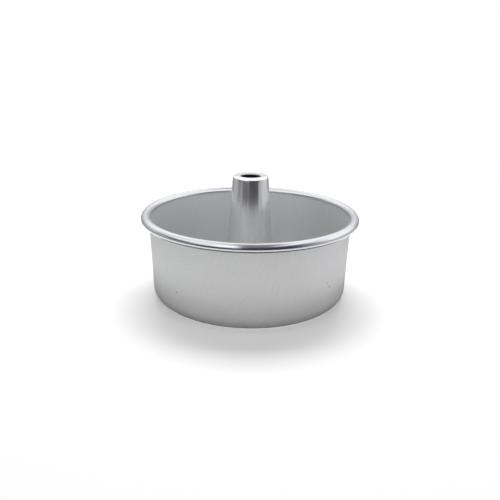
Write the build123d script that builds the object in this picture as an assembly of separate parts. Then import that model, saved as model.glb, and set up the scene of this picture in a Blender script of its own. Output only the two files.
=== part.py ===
"""Angel food cake pan, 7 inches across its rolled rim, with a loose bottom.

Three pieces of aluminium sheet make it. A drawn shell has a rolled rim at its top and, past a rounded
corner, an inward ledge at its foot. A base plate lies loose on that ledge and drops into it by a shallow
step. A tapered tube is swaged into the plate's raised hub: a bead above the hub and a flange below it
clamp the plate's edge. Plate and tube lift out of the shell together as one core.

Every piece is a solid of revolution, so each one is drawn as the section of a bent sheet: a line with
corners for one face of the sheet, the parallel line for its other face, and a bend at each corner.

Millimetres and degrees. +Z is up, and the origin is on the axis at the level of the table.
"""

import os
from math import atan2, cos, degrees, radians, sin, tan

from build123d import *

# The shell
RIM_DIAMETER = 177.8
RIM_HEIGHT = 71.1
CURL_DIAMETER = 7.2
CURL_GAP = 0.3
SHELL_SHEET = 0.8
WALL_TAPER = 1.8
CORNER_RADIUS = 9.5
LEDGE_WIDTH = 9.0

# The base plate
PLATE_SHEET = 0.9
PLATE_EDGE_GAP = 0.4
STEP_DROP = 0.6
STEP_SLOPE = 45.0
STEP_GAP = 0.5
STEP_BEND = 0.3
HUB_RISE = 3.2
HUB_SLOPE = 45.0
HUB_LAND = 3.2
HUB_BEND = 1.2

# The tube
TUBE_HEIGHT = 100.7
TUBE_TOP_DIAMETER = 28.5
TUBE_TAPER = 4.5
TUBE_SHEET = 0.8
TUBE_HOLE_DIAMETER = 17.0
LIP_STRAIGHT = 2.0
LIP_BEND = 0.4
SHOULDER_BEND = 1.3
BEAD_REACH = 2.8
BEAD_BEND = 0.5
BEAD_LAND = 0.4
BEAD_ROOT_BEND = 0.6
NECK_BEND = 0.15
NECK_CLEARANCE = 0.05
FLANGE_REACH = 3.4

# The cut edges of all three sheets are deburred to this radius
EDGE_ROUND = 0.25

# Heights and radii that the pieces share
ledge_top = SHELL_SHEET
plate_step_height = ledge_top - STEP_DROP
hub_underside = plate_step_height + HUB_RISE
hub_top = hub_underside + PLATE_SHEET
curl_radius = CURL_DIAMETER / 2
curl_centre = Vector(RIM_DIAMETER / 2 - curl_radius, RIM_HEIGHT - curl_radius)


def turn(before, corner, after):
    """Positive where a line turns left at a corner, negative where it turns right."""
    a, b = corner - before, after - corner
    return a.X * b.Y - a.Y * b.X


def beside(points, distance):
    """The corners of a line that runs parallel to another, to the right of its direction."""
    runs = [(b - a).normalized() for a, b in zip(points, points[1:])]
    rights = [Vector(run.Y, -run.X) for run in runs]
    moved = [points[0] + rights[0] * distance]
    for corner, before, after in zip(points[1:], rights, rights[1:]):
        moved.append(corner + (before + after) * (distance / (1 + before.dot(after))))
    moved.append(points[-1] + rights[-1] * distance)
    return moved


def sheet_faces(points, bends, sheet):
    """The two faces of a bent sheet, as lines with arcs: the drawn one, and the one to its right.

    Each bend is the radius on the inside of its corner. The outside has the sheet's thickness more.
    """
    turns = [turn(*corner) for corner in zip(points, points[1:], points[2:])]
    drawn = [bend if way > 0 else bend + sheet for bend, way in zip(bends, turns)]
    other = [bend + sheet if way > 0 else bend for bend, way in zip(bends, turns)]
    return FilletPolyline(*points, radius=drawn), FilletPolyline(*beside(points, sheet), radius=other)


def sheet_section(drawn, other):
    """The closed section between the two faces of a sheet, with its cut edges deburred."""
    start, end = Line(drawn @ 0, other @ 0), Line(drawn @ 1, other @ 1)
    section = make_face(Curve() + [drawn, other, start, end])
    tips = [drawn @ 0, other @ 0, drawn @ 1, other @ 1]
    corners = [min(section.vertices(), key=lambda v: (Vector(v) - tip).length) for tip in tips]
    return fillet(corners, EDGE_ROUND)


def spun(section):
    """The ring or cup that a section sweeps round the pan's axis."""
    return revolve(Plane.XZ * section, Axis.Z)


def wall_inside_radius(height):
    """The radius of the shell's inner face at a height, as if the straight wall ran on without end."""
    taper = radians(WALL_TAPER)
    touch_radius = curl_centre.X - curl_radius * cos(taper)
    touch_height = curl_centre.Y + curl_radius * sin(taper)
    return touch_radius - (touch_height - height) * tan(taper)


def ledge_outer_radius():
    """Where the flat ledge ends and the rounded corner of the shell begins, on its upper face."""
    corner = Vector(wall_inside_radius(ledge_top), ledge_top)
    bend = CORNER_RADIUS - SHELL_SHEET
    return corner.X - bend * tan(radians(90 - WALL_TAPER) / 2)


ledge_inner_radius = ledge_outer_radius() - LEDGE_WIDTH


def tube_radius(height):
    """The radius of the tube's outer face at a height, on its straight taper."""
    return TUBE_TOP_DIAMETER / 2 + (TUBE_HEIGHT - height) * tan(radians(TUBE_TAPER))


bead_height = 2 * (BEAD_BEND + TUBE_SHEET) + BEAD_LAND
bead_top = hub_top + bead_height
neck_radius = tube_radius(bead_top)
plate_hole_radius = neck_radius + NECK_CLEARANCE


def shell():
    """The drawn shell: ledge, rounded corner, tapered wall and rolled rim, from one sheet.

    The drawn face is the inside of the pan. At the top it runs on over the curl, whose cut edge stops
    just short of the wall's outer face.
    """
    taper = radians(WALL_TAPER)
    touch = curl_centre + Vector(-cos(taper), sin(taper)) * curl_radius
    points = [
        Vector(ledge_inner_radius, ledge_top),
        Vector(wall_inside_radius(ledge_top), ledge_top),
        touch,
    ]
    inside, outside = sheet_faces(points, [CORNER_RADIUS - SHELL_SHEET], SHELL_SHEET)

    # The curl ends where it would come within the gap of the wall's outer face
    wall_side = curl_radius - SHELL_SHEET - CURL_GAP
    curl_start = 180 - WALL_TAPER
    curl_sweep = 360 - degrees(atan2((curl_radius**2 - wall_side**2) ** 0.5, wall_side))
    curl_outer = CenterArc(curl_centre, curl_radius, curl_start, -curl_sweep)
    curl_inner = CenterArc(curl_centre, curl_radius - SHELL_SHEET, curl_start, -curl_sweep)
    inside_face = Wire([*inside.edges(), *curl_outer.edges()])
    outside_face = Wire([*outside.edges(), *curl_inner.edges()])
    return spun(sheet_section(inside_face, outside_face))


def base_plate():
    """The loose bottom: a disc with a shallow step that drops into the ledge, and a raised hub.

    The drawn face is the underside, from the rim of the disc in to the hole for the tube.
    """
    step_outer = ledge_inner_radius - STEP_GAP
    step_inner = step_outer - STEP_DROP / tan(radians(STEP_SLOPE))
    hub_inner = neck_radius + max(BEAD_REACH, FLANGE_REACH) + HUB_LAND
    hub_outer = hub_inner + HUB_RISE / tan(radians(HUB_SLOPE))
    points = [
        Vector(ledge_outer_radius() - PLATE_EDGE_GAP, ledge_top),
        Vector(step_outer, ledge_top),
        Vector(step_inner, plate_step_height),
        Vector(hub_outer, plate_step_height),
        Vector(hub_inner, hub_underside),
        Vector(plate_hole_radius, hub_underside),
    ]
    bends = [STEP_BEND, STEP_BEND, HUB_BEND, HUB_BEND]
    return spun(sheet_section(*sheet_faces(points, bends, PLATE_SHEET)))


def centre_tube():
    """The tapered tube: turned-in lip, flat top, round shoulder, taper, clamping bead, neck and flange.

    The drawn face is the outside of the tube, from the lip's lower edge up, over the top and down.
    """
    lip_depth = LIP_STRAIGHT + LIP_BEND + TUBE_SHEET
    hole_radius = TUBE_HOLE_DIAMETER / 2
    bead_radius = neck_radius + BEAD_REACH
    points = [
        Vector(hole_radius, TUBE_HEIGHT - lip_depth),
        Vector(hole_radius, TUBE_HEIGHT),
        Vector(TUBE_TOP_DIAMETER / 2, TUBE_HEIGHT),
        Vector(neck_radius, bead_top),
        Vector(bead_radius, bead_top),
        Vector(bead_radius, hub_top),
        Vector(neck_radius, hub_top),
        Vector(neck_radius, hub_underside),
        Vector(neck_radius + FLANGE_REACH, hub_underside),
    ]
    bends = [
        LIP_BEND,
        SHOULDER_BEND,
        BEAD_ROOT_BEND,
        BEAD_BEND,
        BEAD_BEND,
        NECK_BEND,
        NECK_BEND,
    ]
    return spun(sheet_section(*sheet_faces(points, bends, TUBE_SHEET)))


os.makedirs("parts", exist_ok=True)
for name, piece in {
    "pan_shell": shell(),
    "base_plate": base_plate(),
    "centre_tube": centre_tube(),
}.items():
    export_step(piece, f"parts/{name}.step")
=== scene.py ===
"""Angel food cake pan, dressed for its portrait.

The pan is three pieces of aluminium sheet: a drawn shell with a rolled rim, a loose bottom plate on the
shell's ledge, and a tapered tube swaged into the plate. Each is made here as the maker makes it: the
line of one face of the sheet is drawn, swept round the pan's axis, given the sheet's thickness, and its
cut edges are deburred. Metres throughout; one millimetre is MM.
"""

from math import acos, atan2, cos, pi, radians, sin, tan

import bpy
import numpy as np
from mathutils import Matrix, Vector


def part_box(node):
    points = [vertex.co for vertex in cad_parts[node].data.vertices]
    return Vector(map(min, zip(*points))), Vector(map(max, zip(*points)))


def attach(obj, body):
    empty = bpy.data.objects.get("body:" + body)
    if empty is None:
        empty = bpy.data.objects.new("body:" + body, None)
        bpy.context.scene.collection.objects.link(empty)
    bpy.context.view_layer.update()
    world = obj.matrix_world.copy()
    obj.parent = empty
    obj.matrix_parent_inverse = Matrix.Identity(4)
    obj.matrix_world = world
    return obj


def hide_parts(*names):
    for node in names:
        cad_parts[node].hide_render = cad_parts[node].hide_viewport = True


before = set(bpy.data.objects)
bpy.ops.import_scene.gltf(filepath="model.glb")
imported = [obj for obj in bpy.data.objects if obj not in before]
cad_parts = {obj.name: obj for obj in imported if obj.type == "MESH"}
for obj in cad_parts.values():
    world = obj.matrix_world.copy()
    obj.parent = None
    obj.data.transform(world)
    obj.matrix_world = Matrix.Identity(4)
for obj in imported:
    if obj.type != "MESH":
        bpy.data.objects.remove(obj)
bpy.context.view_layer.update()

MM = 0.001

shell_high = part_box("pan_shell")[1]
plate_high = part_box("base_plate")[1]
tube_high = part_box("centre_tube")[1]

# The shell's sizes: the rim's reach and height are the frame's, the rest are the sheet's own
RIM_RADIUS = shell_high.x
RIM_HEIGHT = shell_high.z
SHELL_SHEET = 0.8 * MM
CURL_RADIUS = 3.6 * MM
CURL_GAP = 0.3 * MM
WALL_TAPER = radians(1.8)
CORNER_RADIUS = 9.5 * MM
LEDGE_WIDTH = 9.0 * MM

# The loose bottom plate
PLATE_RADIUS = plate_high.x
PLATE_SHEET = 0.9 * MM
STEP_DROP = 0.6 * MM
STEP_GAP = 0.5 * MM
STEP_BEND = 0.3 * MM
HUB_RISE = 3.2 * MM
HUB_LAND = 3.2 * MM
HUB_BEND = 1.2 * MM
PLATE_SLOPE = radians(45)

# The tube
TUBE_HEIGHT = tube_high.z
TUBE_TOP_RADIUS = 14.25 * MM
TUBE_TAPER = radians(4.5)
TUBE_SHEET = 0.8 * MM
TUBE_HOLE_RADIUS = 8.5 * MM
LIP_STRAIGHT = 2.0 * MM
LIP_BEND = 0.4 * MM
SHOULDER_BEND = 1.3 * MM
BEAD_REACH = 2.8 * MM
BEAD_BEND = 0.5 * MM
BEAD_LAND = 0.4 * MM
BEAD_ROOT_BEND = 0.6 * MM
NECK_BEND = 0.15 * MM
NECK_CLEARANCE = 0.05 * MM
FLANGE_REACH = 3.4 * MM

# The cut edges of all three sheets, and how sharp a corner is a cut edge
EDGE_ROUND = 0.25 * MM
EDGE_STEPS = 3
CUT_EDGE_ANGLE = radians(50)

# How finely the pieces are made
TURN_STEPS = 240
BEND_STEP = radians(9)
RUN_STEP = 2.0 * MM
SMOOTH_ANGLE = radians(40)

# The satin sheet. Its brush lines run from the pan's left back to its right front. Real ones are about
# 0.1 mm apart, too fine to show here, so they are drawn coarser; the grit's fine grain is too.
BRUSH_ANGLE = radians(45)
BRUSH_LENGTH = 12 * MM
BRUSH_SPACING = 0.65 * MM
BRUSH_DEPTH = 0.022 * MM
GRAIN_SIZE = 0.8 * MM
GRAIN_SHARE = 0.9
CLOUD_SIZE = 35 * MM
CLOUD_DEPTH = 0.10 * MM
WALL_ROUGHNESS = 0.50
LINE_ROUGHNESS = 0.08
# The anodised layer over the metal scatters part of the light, so the sheet isn't wholly metallic
SHEET_METALLIC = 0.6

# The burnished rim: where it begins and where its outer half begins, from the start of the curl on
BURNISH_START = (-1.6 * MM, 0.2 * MM)
BURNISH_FULL = (4.0 * MM, 5.6 * MM)
RIM_ROUGHNESS = 0.10
INNER_SATIN = 0.15

# The tiny dark pits in the shell's wall: each one's place and radius
PITS = (
    (Vector((-54.8, -59.8, 22.4)) * MM, 0.75 * MM),
    (Vector((59.8, -55.1, 29.9)) * MM, 0.65 * MM),
    (Vector((61.8, -52.7, 26.4)) * MM, 0.90 * MM),
)

# The spun tube: lathe rings, drawn coarser than the real ones of 0.1 to 0.2 mm, and drawing streaks
RING_SPACING = 0.8 * MM
RING_RUN = 60 * MM
RING_DEPTH = 0.010 * MM
RING_STRENGTH = 0.3
STREAK_WIDTH = 1.6 * MM
STREAK_LENGTH = 45 * MM
STREAK_DEPTH = 0.03 * MM
STREAK_STRENGTH = 0.8
TUBE_POLISH = 0.14
RING_ROUGHNESS = 0.05
DULL_ROUGHNESS = 0.55
# How metallic the lip's face is under its painted highlight
LIP_BARE = 0.5
# Where the lip's painted highlight on its upper face ends outwards and downwards, and how far in the
# tube's inside is
LIP_FACE = (1.2 * MM, 0.6 * MM)
LIP_FOOT = (1.0 * MM, 1.5 * MM)
INSIDE_FACE = (0.3 * MM, 0.6 * MM)

# The stage
TENT_RADIUS = 1.6
PAN_MIDDLE = Vector((0, 0, 50 * MM))
ROOM_LIGHT = 0.15
PAPER_GLOW = 0.25
PAPER_FADE = (0.35, 0.80)
PAPER_EDGE = (0.19, 0.25)
# Where the table cloth's painted shadow round the pan's foot fades, from its outer edge inwards
FOOT_SHADE_RING = (0.128, 0.102)

# How bright the parts of the tent and the table look, where white paper in full light is 1
TENT_FOOT = 0.62
TENT_SIDES = 1.02
TENT_ROOF = 0.50
BACK_SOFTBOX = 1.35
RIGHT_PANEL = 1.35
LEFT_PANEL = 1.20
LEFT_STRIP = 1.55
LEFT_FLAG = 0.36
OPENING_FOOT = 0.05
OPENING_TOP = 0.34
FRONT_GAP = 0.15
TABLE_LEFT = 0.46
TABLE_RIGHT = 0.65
TABLE_FRONT = 0.09
TABLE_BACK = 0.30
TABLE_GAP = 0.27
# How dark the table cloth's painted shadow round the pan's foot is
FOOT_SHADE = 0.04

# The white card over the pan
CARD_GLOW = 1.25
CARD_WIDTH, CARD_DEPTH = 130 * MM, 130 * MM
CARD_PLACE = (0, 5 * MM, 120 * MM)
CARD_NEAR = (18 * MM, 10 * MM)

# The lamps: name, width and height, place and power in watts
LAMPS = (
    ("overhead_softbox", (0.9, 0.6), (0.0, 0.50, 1.2), 13.2),
    ("front_softbox", (0.8, 0.4), (0.0, -1.4, 0.22), 6.8),
    ("left_softbox", (0.7, 0.7), (-1.15, -0.85, 0.36), 1.5),
    ("right_softbox", (0.7, 0.7), (1.15, -0.85, 0.36), 2.1),
)


def hex_colour(code):
    """An sRGB hex colour as the linear colour that a shader takes."""
    shares = [int(code[i : i + 2], 16) / 255 for i in (1, 3, 5)]
    linear = [s / 12.92 if s <= 0.04045 else ((s + 0.055) / 1.055) ** 2.4 for s in shares]
    return (*linear, 1.0)


def run_points(start, end):
    """Points along a straight run, close enough together that the smooth shading stays flat on it."""
    count = max(1, round((end - start).length / RUN_STEP))
    return [start.lerp(end, i / count) for i in range(1, count + 1)]


def arc_points(centre, start, sweep):
    """Points round a bend, from just after its start to its end. A positive sweep turns left."""
    count = max(2, round(abs(sweep) / BEND_STEP))
    spoke = start - centre
    turned = []
    for i in range(1, count + 1):
        a = sweep * i / count
        across = spoke.x * cos(a) - spoke.y * sin(a)
        up = spoke.x * sin(a) + spoke.y * cos(a)
        turned.append(centre + Vector((across, up)))
    return turned


def sheet_line(corners, bends, sheet):
    """The line of a sheet's face through these corners, each rounded by its bend.

    A bend is the radius on the inside of its corner. The thickness goes to the right of the line, so
    where the line turns right, the drawn face is the outer one and its radius has the sheet's
    thickness more.
    """
    line = [corners[0]]
    for before, corner, after, bend in zip(corners, corners[1:], corners[2:], bends):
        way_in, way_out = (corner - before).normalized(), (after - corner).normalized()
        turn = atan2(way_in.x * way_out.y - way_in.y * way_out.x, way_in.dot(way_out))
        radius = bend if turn > 0 else bend + sheet
        reach = radius * tan(abs(turn) / 2)
        bend_start = corner - way_in * reach
        left = Vector((-way_in.y, way_in.x)) * (1 if turn > 0 else -1)
        line += run_points(line[-1], bend_start)
        line += arc_points(bend_start + left * radius, bend_start, turn)
    return line + run_points(line[-1], corners[-1])


def select_only(piece):
    """Makes one object the selected and active one."""
    bpy.ops.object.select_all(action="DESELECT")
    piece.select_set(True)
    bpy.context.view_layer.objects.active = piece


def apply_modifier(piece, kind, **settings):
    """Adds a modifier, sets it and applies it."""
    select_only(piece)
    modifier = piece.modifiers.new(kind.title(), kind)
    for name, value in settings.items():
        setattr(modifier, name, value)
    bpy.ops.object.modifier_apply(modifier=modifier.name)


def swept_sheet(name, line, sheet, towards):
    """A piece of round sheet metal: its face's line drawn point by point and swept round the axis.

    towards is the side of the drawn face that the thickness goes to, at the piece's largest faces:
    it takes a face's centre and gives a direction.
    """
    bpy.ops.object.select_all(action="DESELECT")
    bpy.ops.mesh.primitive_plane_add(size=sheet)
    piece = bpy.context.object
    piece.name = name
    piece.data.name = name

    bpy.ops.object.mode_set(mode="EDIT")
    bpy.ops.mesh.select_mode(type="VERT")
    bpy.ops.mesh.select_all(action="SELECT")
    bpy.ops.mesh.merge(type="CENTER")
    place = [Vector((p.x, 0, p.y)) for p in line]
    bpy.ops.transform.translate(value=place[0])
    for here, there in zip(place, place[1:]):
        bpy.ops.mesh.extrude_region_move(TRANSFORM_OT_translate={"value": there - here})
    bpy.ops.mesh.select_all(action="SELECT")
    bpy.ops.mesh.spin(steps=TURN_STEPS, angle=2 * pi, center=(0, 0, 0), axis=(0, 0, 1))
    bpy.ops.mesh.select_all(action="SELECT")
    bpy.ops.mesh.remove_doubles(threshold=0.01 * MM)
    bpy.ops.mesh.normals_make_consistent(inside=False)
    bpy.ops.object.mode_set(mode="OBJECT")

    largest = max(piece.data.polygons, key=lambda face: face.area)
    side = 1 if largest.normal.dot(towards(largest.center)) > 0 else -1
    apply_modifier(piece, "SOLIDIFY", thickness=sheet, offset=side, use_even_offset=True)
    apply_modifier(
        piece,
        "BEVEL",
        width=EDGE_ROUND,
        segments=EDGE_STEPS,
        limit_method="ANGLE",
        angle_limit=CUT_EDGE_ANGLE,
    )

    bpy.ops.object.mode_set(mode="EDIT")
    bpy.ops.mesh.select_all(action="SELECT")
    bpy.ops.mesh.normals_make_consistent(inside=False)
    bpy.ops.object.mode_set(mode="OBJECT")
    bpy.ops.object.shade_smooth_by_angle(angle=SMOOTH_ANGLE)
    return piece


def flat_radii(drawn):
    """The radius in the flat round blank of each point of a drawn line, from the inside outwards.

    Drawing keeps the sheet's area, so a ring of the piece lay in the blank at the radius that holds as
    much area inside it.
    """
    steps = np.hypot(*np.diff(drawn, axis=0).T)
    rings = (drawn[1:, 0] + drawn[:-1, 0]) * steps
    return np.sqrt(drawn[0, 0] ** 2 + np.concatenate([[0], np.cumsum(rings)]))


def lay_flat(piece, line):
    """Writes where each point of the piece lay in the flat round blank, before it was drawn.

    The blank fills the unit square of the UV map. Gives the blank's diameter.
    """
    drawn = np.array([(p.x, p.y) for p in line])
    if drawn[0, 0] > drawn[-1, 0]:
        drawn = drawn[::-1]
    flat = flat_radii(drawn)

    count = len(piece.data.vertices)
    place = np.empty(count * 3)
    piece.data.vertices.foreach_get("co", place)
    place = place.reshape(-1, 3)
    reach = np.hypot(place[:, 0], place[:, 1])
    nearest = np.full(count, np.inf)
    radius = np.zeros(count)
    for a, b, flat_a, flat_b in zip(drawn, drawn[1:], flat, flat[1:]):
        run = b - a
        share = ((reach - a[0]) * run[0] + (place[:, 2] - a[1]) * run[1]) / (run @ run)
        share = np.clip(share, 0, 1)
        gap = np.hypot(reach - a[0] - run[0] * share, place[:, 2] - a[1] - run[1] * share)
        closer = gap < nearest
        nearest[closer] = gap[closer]
        radius[closer] = (flat_a + (flat_b - flat_a) * share)[closer]

    diameter = 2 * flat[-1]
    square = 0.5 + place[:, :2] / reach[:, None] * radius[:, None] / diameter
    corner_of = np.empty(len(piece.data.loops), dtype=int)
    piece.data.loops.foreach_get("vertex_index", corner_of)
    layer = piece.data.uv_layers.get("UVMap") or piece.data.uv_layers.new(name="UVMap")
    layer.name = "flat_sheet"
    layer.data.foreach_set("uv", square[corner_of].ravel())
    return diameter


# Heights and radii that the three sheets share

curl_centre = Vector((RIM_RADIUS - CURL_RADIUS, RIM_HEIGHT - CURL_RADIUS))
curl_start = curl_centre + Vector((-cos(WALL_TAPER), sin(WALL_TAPER))) * CURL_RADIUS
ledge_top = SHELL_SHEET
wall_foot = Vector((curl_start.x - (curl_start.y - ledge_top) * tan(WALL_TAPER), ledge_top))
ledge_outer = wall_foot.x - (CORNER_RADIUS - SHELL_SHEET) * tan((pi / 2 - WALL_TAPER) / 2)
ledge_inner = ledge_outer - LEDGE_WIDTH
step_height = ledge_top - STEP_DROP
hub_underside = step_height + HUB_RISE
hub_top = hub_underside + PLATE_SHEET
bead_top = hub_top + 2 * (BEAD_BEND + TUBE_SHEET) + BEAD_LAND
neck_radius = TUBE_TOP_RADIUS + (TUBE_HEIGHT - bead_top) * tan(TUBE_TAPER)


def drawn_shell():
    """The outer pan: the drawn line is its inside face, which runs on round the rolled rim.

    Gives the shell, its blank's diameter, and the radius in the blank at which the curl starts.
    """
    wall_side = CURL_RADIUS - SHELL_SHEET - CURL_GAP
    sweep = 2 * pi - acos(wall_side / CURL_RADIUS)
    corners = [Vector((ledge_inner, ledge_top)), wall_foot, curl_start]
    line = sheet_line(corners, [CORNER_RADIUS - SHELL_SHEET], SHELL_SHEET)
    rim_start = flat_radii(np.array([(p.x, p.y) for p in line]))[-1]
    line += arc_points(curl_centre, curl_start, -sweep)
    shell = swept_sheet(
        "drawn_shell", line, SHELL_SHEET, lambda centre: Vector((centre.x, centre.y, 0))
    )
    return shell, lay_flat(shell, line), rim_start


def loose_bottom():
    """The plate on the ledge: the drawn line is its underside, from its rim in to the tube."""
    step_outer = ledge_inner - STEP_GAP
    hub_inner = neck_radius + FLANGE_REACH + HUB_LAND
    corners = [
        Vector((PLATE_RADIUS, ledge_top)),
        Vector((step_outer, ledge_top)),
        Vector((step_outer - STEP_DROP / tan(PLATE_SLOPE), step_height)),
        Vector((hub_inner + HUB_RISE / tan(PLATE_SLOPE), step_height)),
        Vector((hub_inner, hub_underside)),
        Vector((neck_radius + NECK_CLEARANCE, hub_underside)),
    ]
    line = sheet_line(corners, [STEP_BEND, STEP_BEND, HUB_BEND, HUB_BEND], PLATE_SHEET)
    plate = swept_sheet("loose_bottom", line, PLATE_SHEET, lambda centre: Vector((0, 0, 1)))
    return plate, lay_flat(plate, line)


def spun_tube():
    """The tube: the drawn line is its outside, from the lip's lower edge over the top to the flange."""
    lip_depth = LIP_STRAIGHT + LIP_BEND + TUBE_SHEET
    bead_radius = neck_radius + BEAD_REACH
    corners = [
        Vector((TUBE_HOLE_RADIUS, TUBE_HEIGHT - lip_depth)),
        Vector((TUBE_HOLE_RADIUS, TUBE_HEIGHT)),
        Vector((TUBE_TOP_RADIUS, TUBE_HEIGHT)),
        Vector((neck_radius, bead_top)),
        Vector((bead_radius, bead_top)),
        Vector((bead_radius, hub_top)),
        Vector((neck_radius, hub_top)),
        Vector((neck_radius, hub_underside)),
        Vector((neck_radius + FLANGE_REACH, hub_underside)),
    ]
    bends = [
        LIP_BEND,
        SHOULDER_BEND,
        BEAD_ROOT_BEND,
        BEAD_BEND,
        BEAD_BEND,
        NECK_BEND,
        NECK_BEND,
    ]
    line = sheet_line(corners, bends, TUBE_SHEET)
    tube = swept_sheet(
        "spun_tube", line, TUBE_SHEET, lambda centre: Vector((-centre.x, -centre.y, 0))
    )
    lay_flat(tube, line)
    return tube


# Places of a Mix node's inputs, for numbers and for colours
SHARE = 0
FIRST_NUMBER, SECOND_NUMBER = 2, 3
FIRST_COLOUR, SECOND_COLOUR = 6, 7


def add(tree, kind, inputs=None, **settings):
    """Adds a node and sets it. An input takes a value, a socket, or a node, whose result it takes."""
    made = tree.nodes.new(kind)
    for name, value in settings.items():
        setattr(made, name, value)
    for socket, value in (inputs or {}).items():
        if isinstance(value, bpy.types.Node):
            value = next(result for result in value.outputs if result.enabled)
        if isinstance(value, bpy.types.NodeSocket):
            tree.links.new(value, made.inputs[socket])
        else:
            made.inputs[socket].default_value = value
    return made


def new_tree(name):
    """A new material with an empty node tree, and that tree."""
    material = bpy.data.materials.new(name)
    material.use_nodes = True
    material.node_tree.nodes.clear()
    return material, material.node_tree


def soft_edge(tree, value, start, end):
    """0 where a value is before start, 1 where it is past end, and a smooth change between them."""
    inputs = {"Value": value, "From Min": start, "From Max": end, "To Min": 0.0, "To Max": 1.0}
    return add(tree, "ShaderNodeMapRange", inputs, interpolation_type="SMOOTHSTEP")


def every(tree, *shares):
    """The product of some shares: 1 only where all are 1."""
    product = shares[0]
    for share in shares[1:]:
        product = add(tree, "ShaderNodeMath", {0: product, 1: share}, operation="MULTIPLY")
    return product


def place_in_blank(tree):
    """Where a point lay in the flat round blank, from the blank's middle, its diameter being 1."""
    sheet = add(tree, "ShaderNodeUVMap", uv_map="flat_sheet")
    return add(tree, "ShaderNodeVectorMath", {0: sheet, 1: (0.5, 0.5, 0)}, operation="SUBTRACT")


def brushed_lines(tree, flat, blank_diameter):
    """Straight brush lines across the flat blank, as a share from 0 to 1 that drawing bent with it."""
    turned = add(
        tree,
        "ShaderNodeVectorRotate",
        {"Vector": flat, "Angle": BRUSH_ANGLE},
        rotation_type="Z_AXIS",
    )
    scale = (blank_diameter / BRUSH_LENGTH, blank_diameter / BRUSH_SPACING, 1)
    stretched = add(tree, "ShaderNodeMapping", {"Vector": turned, "Scale": scale})
    return add(
        tree,
        "ShaderNodeTexNoise",
        {"Vector": stretched, "Scale": 1.0, "Detail": 3.0, "Roughness": 0.65},
        noise_dimensions="2D",
    )


def pits(tree, place):
    """The few tiny dark pits that the pan has in its wall: 1 in a pit and 0 elsewhere."""
    deepest = 0.0
    for centre, radius in PITS:
        gap = add(tree, "ShaderNodeVectorMath", {0: place, 1: centre}, operation="DISTANCE")
        pit = soft_edge(tree, gap, radius, radius / 3)
        deepest = add(tree, "ShaderNodeMath", {0: deepest, 1: pit}, operation="MAXIMUM")
    return deepest


def satin_aluminium(name, blank_diameter, rim_start):
    """Anodised aluminium sheet, brushed before it was drawn: a soft grey satin with fine lines.

    The lines run straight across the flat blank, so on the wall they stand upright where it faces
    along them, and lie in shallow arcs a quarter turn further round. The roller burnishes the rolled
    rim: nearly polished on its inner half, polished on its outer half.
    """
    material, tree = new_tree(name)
    place = add(tree, "ShaderNodeTexCoord").outputs["Object"]
    flat = place_in_blank(tree)
    lines = brushed_lines(tree, flat, blank_diameter)
    grain = add(
        tree, "ShaderNodeTexNoise", {"Vector": place, "Scale": 1 / GRAIN_SIZE, "Detail": 1.0}
    )
    clouds = add(
        tree, "ShaderNodeTexNoise", {"Vector": place, "Scale": 1 / CLOUD_SIZE, "Detail": 2.0}
    )

    # How satin the sheet is: 1 up to the rim, and 0 where it is polished
    reach = add(tree, "ShaderNodeVectorMath", {0: flat}, operation="LENGTH")
    inner_half = soft_edge(
        tree, reach, *((rim_start + along) / blank_diameter for along in BURNISH_START)
    )
    outer_half = soft_edge(
        tree, reach, *((rim_start + along) / blank_diameter for along in BURNISH_FULL)
    )
    rim_satin = add(
        tree,
        "ShaderNodeMix",
        {SHARE: outer_half, FIRST_NUMBER: INNER_SATIN, SECOND_NUMBER: 0.0},
    )
    satin = add(
        tree,
        "ShaderNodeMix",
        {SHARE: inner_half, FIRST_NUMBER: 1.0, SECOND_NUMBER: rim_satin},
    )

    sheet_colours = {FIRST_COLOUR: hex_colour("#D2D3D3"), SECOND_COLOUR: hex_colour("#E8E8E8")}
    sheet = add(tree, "ShaderNodeMix", {SHARE: lines, **sheet_colours}, data_type="RGBA")
    pitted = add(
        tree,
        "ShaderNodeMix",
        {SHARE: pits(tree, place), FIRST_COLOUR: sheet, SECOND_COLOUR: hex_colour("#5E5A56")},
        data_type="RGBA",
    )
    colour = add(
        tree,
        "ShaderNodeMix",
        {SHARE: satin, FIRST_COLOUR: hex_colour("#D6D7D9"), SECOND_COLOUR: pitted},
        data_type="RGBA",
    )
    bare = add(
        tree, "ShaderNodeMath", {0: satin, 1: SHEET_METALLIC - 1.0, 2: 1.0}, operation="MULTIPLY_ADD"
    )
    smooth = add(
        tree,
        "ShaderNodeMath",
        {0: satin, 1: WALL_ROUGHNESS - RIM_ROUGHNESS, 2: RIM_ROUGHNESS},
        operation="MULTIPLY_ADD",
    )
    rough = add(
        tree, "ShaderNodeMath", {0: lines, 1: LINE_ROUGHNESS, 2: smooth}, operation="MULTIPLY_ADD"
    )

    marks = add(
        tree, "ShaderNodeMath", {0: grain, 1: GRAIN_SHARE, 2: lines}, operation="MULTIPLY_ADD"
    )
    relief = add(
        tree,
        "ShaderNodeBump",
        {"Height": every(tree, marks, satin), "Strength": 1.0, "Distance": BRUSH_DEPTH},
    )
    dents = add(
        tree,
        "ShaderNodeBump",
        {
            "Height": every(tree, clouds, satin),
            "Strength": 1.0,
            "Distance": CLOUD_DEPTH,
            "Normal": relief,
        },
    )
    metal = add(
        tree,
        "ShaderNodeBsdfPrincipled",
        {"Base Color": colour, "Metallic": bare, "Roughness": rough, "Normal": dents},
    )
    add(tree, "ShaderNodeOutputMaterial", {"Surface": metal})
    return material


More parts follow.
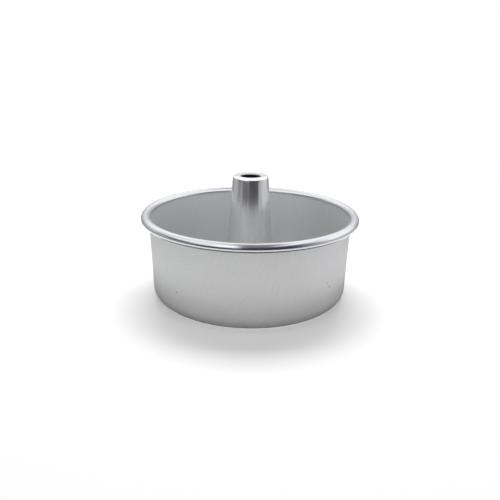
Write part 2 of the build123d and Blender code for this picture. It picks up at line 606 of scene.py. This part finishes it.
def spun_aluminium(name):
    """Aluminium worked on a lathe: half glossy, with fine rings round it and faint streaks along it.

    The rings spread what the metal mirrors along the tube and keep it sharp round the tube. Inside,
    out of the tool's reach, the tube is dull, and it is painted nearly black as painted shade in its
    bore.
    The lip's face is dull, half metallic and painted pale, as a painted highlight.
    """
    material, tree = new_tree(name)
    place = add(tree, "ShaderNodeTexCoord").outputs["Object"]
    rings_scale = (1 / RING_RUN, 1 / RING_RUN, 1 / RING_SPACING)
    ring_place = add(tree, "ShaderNodeMapping", {"Vector": place, "Scale": rings_scale})
    rings = add(tree, "ShaderNodeTexNoise", {"Vector": ring_place, "Scale": 1.0, "Detail": 2.0})
    streak_scale = (1 / STREAK_WIDTH, 1 / STREAK_WIDTH, 1 / STREAK_LENGTH)
    streak_place = add(tree, "ShaderNodeMapping", {"Vector": place, "Scale": streak_scale})
    streaks = add(
        tree, "ShaderNodeTexNoise", {"Vector": streak_place, "Scale": 1.0, "Detail": 2.0}
    )

    # The inside is everything within the outer cone by more than part of the sheet's thickness
    axes = add(tree, "ShaderNodeSeparateXYZ", {"Vector": place}).outputs
    level = add(tree, "ShaderNodeCombineXYZ", {"X": axes["X"], "Y": axes["Y"]})
    reach = add(tree, "ShaderNodeVectorMath", {0: level}, operation="LENGTH")
    cone = add(
        tree,
        "ShaderNodeMath",
        {0: axes["Z"], 1: tan(TUBE_TAPER), 2: reach},
        operation="MULTIPLY_ADD",
    )
    outer = TUBE_TOP_RADIUS + TUBE_HEIGHT * tan(TUBE_TAPER)
    lip_high, lip_low = (TUBE_HEIGHT - depth for depth in LIP_FOOT)
    # The tube's inside is dull, and it is painted nearly black as painted shade in the bore
    inside = every(
        tree,
        soft_edge(tree, cone, *(outer - depth for depth in INSIDE_FACE)),
        soft_edge(tree, axes["Z"], lip_high, lip_low),
    )
    # The lip's face near the hole, which gets a painted highlight: pale colour, less metal and a dull
    # finish
    lip = every(
        tree,
        soft_edge(tree, reach, *(TUBE_HOLE_RADIUS + width for width in LIP_FACE)),
        soft_edge(tree, axes["Z"], lip_low, lip_high),
    )

    metal_colours = {FIRST_COLOUR: hex_colour("#D8D9DA"), SECOND_COLOUR: hex_colour("#FAFBFC")}
    colour = add(tree, "ShaderNodeMix", {SHARE: streaks, **metal_colours}, data_type="RGBA")
    # Painted highlight: the lip's face is painted pale. Painted shade: the tube's inside is painted
    # nearly black.
    for share, code in ((lip, "#F0F0F0"), (inside, "#2C2D2F")):
        painted = {SHARE: share, FIRST_COLOUR: colour, SECOND_COLOUR: hex_colour(code)}
        colour = add(tree, "ShaderNodeMix", painted, data_type="RGBA")
    polish = add(
        tree,
        "ShaderNodeMath",
        {0: rings, 1: RING_ROUGHNESS, 2: TUBE_POLISH},
        operation="MULTIPLY_ADD",
    )
    dull = add(tree, "ShaderNodeMath", {0: inside, 1: lip}, operation="MAXIMUM")
    rough = add(
        tree,
        "ShaderNodeMix",
        {SHARE: dull, FIRST_NUMBER: polish, SECOND_NUMBER: DULL_ROUGHNESS},
    )
    # Less metal on the lip's face, as part of its painted highlight
    bare = add(
        tree, "ShaderNodeMath", {0: lip, 1: LIP_BARE - 1.0, 2: 1.0}, operation="MULTIPLY_ADD"
    )
    ring_relief = add(
        tree, "ShaderNodeBump", {"Height": rings, "Strength": RING_STRENGTH, "Distance": RING_DEPTH}
    )
    relief = add(
        tree,
        "ShaderNodeBump",
        {
            "Height": streaks,
            "Strength": STREAK_STRENGTH,
            "Distance": STREAK_DEPTH,
            "Normal": ring_relief,
        },
    )
    metal = add(
        tree,
        "ShaderNodeBsdfPrincipled",
        {
            "Base Color": colour,
            "Metallic": bare,
            "Roughness": rough,
            "Anisotropic": 0.85,
            "Anisotropic Rotation": 0.25,
            "Normal": relief,
            "Tangent": add(tree, "ShaderNodeTangent", direction_type="RADIAL", axis="Z"),
        },
    )
    add(tree, "ShaderNodeOutputMaterial", {"Surface": metal})
    return material


def seen_rays(tree):
    """1 for the rays that show a thing to the eye, directly or in metal or glass, and 0 for light."""
    path = add(tree, "ShaderNodeLightPath").outputs
    mirrored = add(
        tree,
        "ShaderNodeMath",
        {0: path["Is Glossy Ray"], 1: path["Is Transmission Ray"]},
        operation="MAXIMUM",
    )
    return add(
        tree, "ShaderNodeMath", {0: path["Is Camera Ray"], 1: mirrored}, operation="MAXIMUM"
    )


def white_paper():
    """Matt white background paper. It keeps the pan's shadow, and is plain white away from it."""
    material, tree = new_tree("white_paper")
    paper = add(
        tree, "ShaderNodeBsdfPrincipled", {"Base Color": hex_colour("#F6F6F6"), "Roughness": 1.0}
    )
    glow = add(
        tree, "ShaderNodeEmission", {"Color": hex_colour("#FFFFFF"), "Strength": PAPER_GLOW}
    )
    shadowed = add(tree, "ShaderNodeAddShader", {0: paper, 1: glow})
    white = add(tree, "ShaderNodeEmission", {"Color": hex_colour("#FFFFFF"), "Strength": 1.0})
    place = add(tree, "ShaderNodeTexCoord").outputs["Object"]
    away = add(tree, "ShaderNodeVectorMath", {0: place}, operation="LENGTH")
    faded = add(
        tree, "ShaderNodeMixShader", {0: soft_edge(tree, away, *PAPER_FADE), 1: shadowed, 2: white}
    )
    shown = add(tree, "ShaderNodeMixShader", {0: seen_rays(tree), 1: paper, 2: faded})
    add(tree, "ShaderNodeOutputMaterial", {"Surface": shown})
    return material


def mirrored_only(thing):
    """Leaves a thing to be seen in the metal's reflections and nowhere else."""
    thing.visible_camera = False
    thing.visible_diffuse = False
    thing.visible_transmission = False
    thing.visible_volume_scatter = False
    thing.visible_shadow = False


def patch(tree, around, height, sides, ends, blur):
    """1 in a patch of the tent between two directions and between two heights, with blurred edges."""
    (left, right), (low, high) = sides, ends
    return every(
        tree,
        soft_edge(tree, around, left - blur, left + blur),
        soft_edge(tree, around, right + blur, right - blur),
        soft_edge(tree, height, low - blur, low + blur),
        soft_edge(tree, height, high + blur, high - blur),
    )


def tent_cloth():
    """The light tent: even cloth, lit panels and a dark flag on it, and in front the open side.

    A direction is in degrees round the pan from its front, positive to the right, and a height is in
    degrees above the table.
    """
    material, tree = new_tree("tent_cloth")
    place = add(tree, "ShaderNodeTexCoord").outputs["Object"]
    unit = add(tree, "ShaderNodeVectorMath", {0: place}, operation="NORMALIZE")
    axes = add(tree, "ShaderNodeSeparateXYZ", {"Vector": unit}).outputs
    across, along, up = axes["X"], axes["Y"], axes["Z"]
    forward = add(tree, "ShaderNodeMath", {0: along, 1: -1.0}, operation="MULTIPLY")
    turned = add(tree, "ShaderNodeMath", {0: across, 1: forward}, operation="ARCTAN2")
    around = add(tree, "ShaderNodeMath", {0: turned}, operation="DEGREES")
    raised = add(tree, "ShaderNodeMath", {0: up}, operation="ARCSINE")
    height = add(tree, "ShaderNodeMath", {0: raised}, operation="DEGREES")
    aside = add(tree, "ShaderNodeMath", {0: around}, operation="ABSOLUTE")

    roof = every(
        tree, soft_edge(tree, across, -0.25, 0.05), soft_edge(tree, height, 64, 74)
    )
    parts = (
        (soft_edge(tree, height, 6, 26), TENT_SIDES),
        (roof, TENT_ROOF),
        (patch(tree, aside, height, (125, 200), (26, 60), 9), BACK_SOFTBOX),
        (patch(tree, around, height, (84, 130), (8, 42), 10), RIGHT_PANEL),
        (patch(tree, around, height, (56, 130), (52, 66), 6), RIGHT_PANEL),
        (patch(tree, around, height, (-92, -14), (32, 62), 6), LEFT_PANEL),
        (patch(tree, around, height, (-105, -60), (6, 24), 6), LEFT_FLAG),
        (patch(tree, around, height, (-86, -12), (-9, 14), 6), FRONT_GAP),
        (patch(tree, around, height, (-38, -13), (24, 56), 5), LEFT_STRIP),
    )
    glow = TENT_FOOT
    for share, level in parts:
        laid = {SHARE: share, FIRST_NUMBER: glow, SECOND_NUMBER: level}
        glow = add(tree, "ShaderNodeMix", laid)

    # The open side: wide and low to the right of the front, and narrow up to the top
    dusk = add(
        tree,
        "ShaderNodeMix",
        {
            SHARE: soft_edge(tree, height, 8, 55),
            FIRST_NUMBER: OPENING_FOOT,
            SECOND_NUMBER: OPENING_TOP,
        },
    )
    low = every(
        tree,
        soft_edge(tree, around, -16, -4),
        soft_edge(tree, around, 92, 38),
        soft_edge(tree, height, 52, 40),
    )
    high = every(
        tree,
        soft_edge(tree, across, -0.20, -0.06),
        soft_edge(tree, across, 0.40, 0.22),
        soft_edge(tree, along, 0.05, -0.15),
    )
    opening = add(tree, "ShaderNodeMath", {0: low, 1: high}, operation="MAXIMUM")
    glow = add(
        tree, "ShaderNodeMix", {SHARE: opening, FIRST_NUMBER: glow, SECOND_NUMBER: dusk}
    )
    tints = {FIRST_COLOUR: hex_colour("#FAFCFF"), SECOND_COLOUR: hex_colour("#E8DEFF")}
    tint = add(tree, "ShaderNodeMix", {SHARE: opening, **tints}, data_type="RGBA")
    shown = add(tree, "ShaderNodeEmission", {"Color": tint, "Strength": glow})
    add(tree, "ShaderNodeOutputMaterial", {"Surface": shown})
    return material


def light_tent():
    """A dome of white cloth round the pan, which only the metal mirrors."""
    bpy.ops.object.select_all(action="DESELECT")
    bpy.ops.mesh.primitive_uv_sphere_add(
        segments=64, ring_count=32, radius=TENT_RADIUS, location=(0, 0, 0)
    )
    tent = bpy.context.object
    tent.name = "light_tent"
    tent.data.materials.append(tent_cloth())
    mirrored_only(tent)


def table_linen():
    """The table's cloth round the white paper: dim at the sides and behind, and dark in front.

    It is clear over the paper, but for a painted shadow: a dark ring close round the pan's foot.
    Far from the pan, where only the tube mirrors it, the dark front is narrower and has a dim gap to
    its left.
    """
    material, tree = new_tree("table_cloth")
    place = add(tree, "ShaderNodeTexCoord").outputs["Object"]
    away = add(tree, "ShaderNodeVectorMath", {0: place}, operation="LENGTH")
    axes = add(tree, "ShaderNodeSeparateXYZ", {"Vector": place}).outputs
    rightward = add(tree, "ShaderNodeMath", {0: axes["X"], 1: away}, operation="DIVIDE")
    backward = add(tree, "ShaderNodeMath", {0: axes["Y"], 1: away}, operation="DIVIDE")
    outside = soft_edge(tree, away, *PAPER_EDGE)
    far = soft_edge(tree, away, 0.45, 0.70)
    gap = every(
        tree,
        far,
        soft_edge(tree, rightward, 0.0, -0.2),
        soft_edge(tree, backward, -0.52, -0.42),
        soft_edge(tree, backward, -0.08, -0.18),
    )
    front = add(
        tree,
        "ShaderNodeMix",
        {
            SHARE: far,
            FIRST_NUMBER: soft_edge(tree, backward, -0.25, -0.85),
            SECOND_NUMBER: soft_edge(tree, backward, -0.62, -0.72),
        },
    )
    glow = TABLE_LEFT
    for share, level in (
        (soft_edge(tree, rightward, -1.0, 1.0), TABLE_RIGHT),
        (soft_edge(tree, backward, 0.45, 0.80), TABLE_BACK),
        (gap, TABLE_GAP),
        (front, TABLE_FRONT),
    ):
        laid = {SHARE: share, FIRST_NUMBER: glow, SECOND_NUMBER: level}
        glow = add(tree, "ShaderNodeMix", laid)
    glow = add(
        tree, "ShaderNodeMix", {SHARE: outside, FIRST_NUMBER: FOOT_SHADE, SECOND_NUMBER: glow}
    )
    clear = add(tree, "ShaderNodeBsdfTransparent")
    cloth = add(tree, "ShaderNodeEmission", {"Color": hex_colour("#FAF8FF"), "Strength": glow})
    # Painted shadow: the cloth is dark in a ring close round the pan's foot
    shade = soft_edge(tree, away, *FOOT_SHADE_RING)
    share = add(tree, "ShaderNodeMath", {0: outside, 1: shade}, operation="MAXIMUM")
    shown = add(tree, "ShaderNodeMixShader", {0: share, 1: clear, 2: cloth})
    add(tree, "ShaderNodeOutputMaterial", {"Surface": shown})
    return material


def table_cloth():
    """The round table that the pan stands on, a hair above the paper, which only the metal mirrors."""
    bpy.ops.object.select_all(action="DESELECT")
    bpy.ops.mesh.primitive_circle_add(
        vertices=64, radius=TENT_RADIUS, fill_type="NGON", location=(0, 0, 1 * MM)
    )
    cloth = bpy.context.object
    cloth.name = "table_cloth"
    bpy.ops.object.transform_apply(location=True, rotation=True, scale=True)
    cloth.data.materials.append(table_linen())
    mirrored_only(cloth)


def white_card():
    """The card's material: white below and clear above, and clear to what is almost touching it."""
    material, tree = new_tree("white_card")
    face = add(tree, "ShaderNodeEmission", {"Color": hex_colour("#FFFFFF"), "Strength": CARD_GLOW})
    clear = add(tree, "ShaderNodeBsdfTransparent")
    above = add(tree, "ShaderNodeNewGeometry").outputs["Backfacing"]
    distance = add(tree, "ShaderNodeLightPath").outputs["Ray Length"]
    touching = soft_edge(tree, distance, *CARD_NEAR)
    hidden = add(tree, "ShaderNodeMath", {0: above, 1: touching}, operation="MAXIMUM")
    shown = add(tree, "ShaderNodeMixShader", {0: hidden, 1: face, 2: clear})
    add(tree, "ShaderNodeOutputMaterial", {"Surface": shown})
    return material


def overhead_card():
    """A white card hung low over the pan, which the far side of the rim mirrors."""
    bpy.ops.object.select_all(action="DESELECT")
    bpy.ops.mesh.primitive_plane_add(size=1, location=(0, 0, 0))
    card = bpy.context.object
    card.name = "overhead_card"
    bpy.ops.object.mode_set(mode="EDIT")
    bpy.ops.mesh.select_all(action="SELECT")
    bpy.ops.transform.resize(value=(CARD_WIDTH, CARD_DEPTH, 1))
    bpy.ops.transform.translate(value=CARD_PLACE)
    bpy.ops.mesh.flip_normals()
    bpy.ops.object.mode_set(mode="OBJECT")
    card.data.materials.append(white_card())
    mirrored_only(card)


def softbox(name, size, place, power):
    """A rectangular lamp that faces the pan. The metal mirrors the tent instead of it."""
    lamp = bpy.data.lights.new(name, "AREA")
    lamp.shape = "RECTANGLE"
    lamp.size, lamp.size_y = size
    lamp.energy = power
    box = bpy.data.objects.new(name, lamp)
    bpy.context.scene.collection.objects.link(box)
    box.location = place
    box.rotation_euler = (PAN_MIDDLE - Vector(place)).to_track_quat("-Z", "Y").to_euler()
    box.visible_glossy = False


def light_studio():
    """A white room: pale floor, faint light from all round, four softboxes, and what metal mirrors."""
    bpy.ops.object.select_all(action="DESELECT")
    bpy.ops.mesh.primitive_plane_add(size=8, location=(0, 0, 0))
    floor = bpy.context.object
    floor.name = "studio_floor"
    floor.data.materials.append(white_paper())

    world = bpy.data.worlds.new("white_room")
    bpy.context.scene.world = world
    world.use_nodes = True
    tree = world.node_tree
    tree.nodes.clear()
    white = hex_colour("#FFFFFF")
    light = add(tree, "ShaderNodeBackground", {"Color": white, "Strength": ROOM_LIGHT})
    seen = add(tree, "ShaderNodeBackground", {"Color": white, "Strength": 1.0})
    shown = add(tree, "ShaderNodeMixShader", {0: seen_rays(tree), 1: light, 2: seen})
    add(tree, "ShaderNodeOutputWorld", {"Surface": shown})

    for lamp in LAMPS:
        softbox(*lamp)
    light_tent()
    table_cloth()
    overhead_card()


def place_camera():
    """The portrait's camera, worked out from the edges of the rim, the wall, the foot and the tube."""
    view_width_px = 500
    focal_px = 600
    distance = 0.5065
    elevation = radians(19.26)
    roll = 0.016
    target = Vector((0.39 * MM, 0, 36.6 * MM))
    lens = bpy.data.cameras.new("camera")
    lens.sensor_width = 36
    lens.lens = lens.sensor_width * focal_px / view_width_px
    camera = bpy.data.objects.new("camera", lens)
    bpy.context.scene.collection.objects.link(camera)
    back = Vector((0, -cos(elevation), sin(elevation)))
    camera.location = target + back * distance
    level = (-back).to_track_quat("-Z", "Y").to_matrix()
    camera.rotation_euler = (level @ Matrix.Rotation(roll, 3, "Z")).to_euler()
    bpy.context.scene.camera = camera


shell, shell_blank, rim_start = drawn_shell()
plate, plate_blank = loose_bottom()
tube = spun_tube()
shell.data.materials.append(satin_aluminium("satin_anodised_shell", shell_blank, rim_start))
# The plate has no rim, so its burnish would start past the edge of its blank
plate.data.materials.append(satin_aluminium("satin_anodised_plate", plate_blank, plate_blank))
tube.data.materials.append(spun_aluminium("spun_tube_aluminium"))

for piece, body, node, slot in (
    (shell, "shell", "pan_shell", "shell_aluminium"),
    (plate, "core", "base_plate", "plate_aluminium"),
    (tube, "core", "centre_tube", "tube_aluminium"),
):
    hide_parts(node)
    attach(piece, body)

place_camera()
light_studio()
bpy.context.scene.view_settings.view_transform = "Standard"
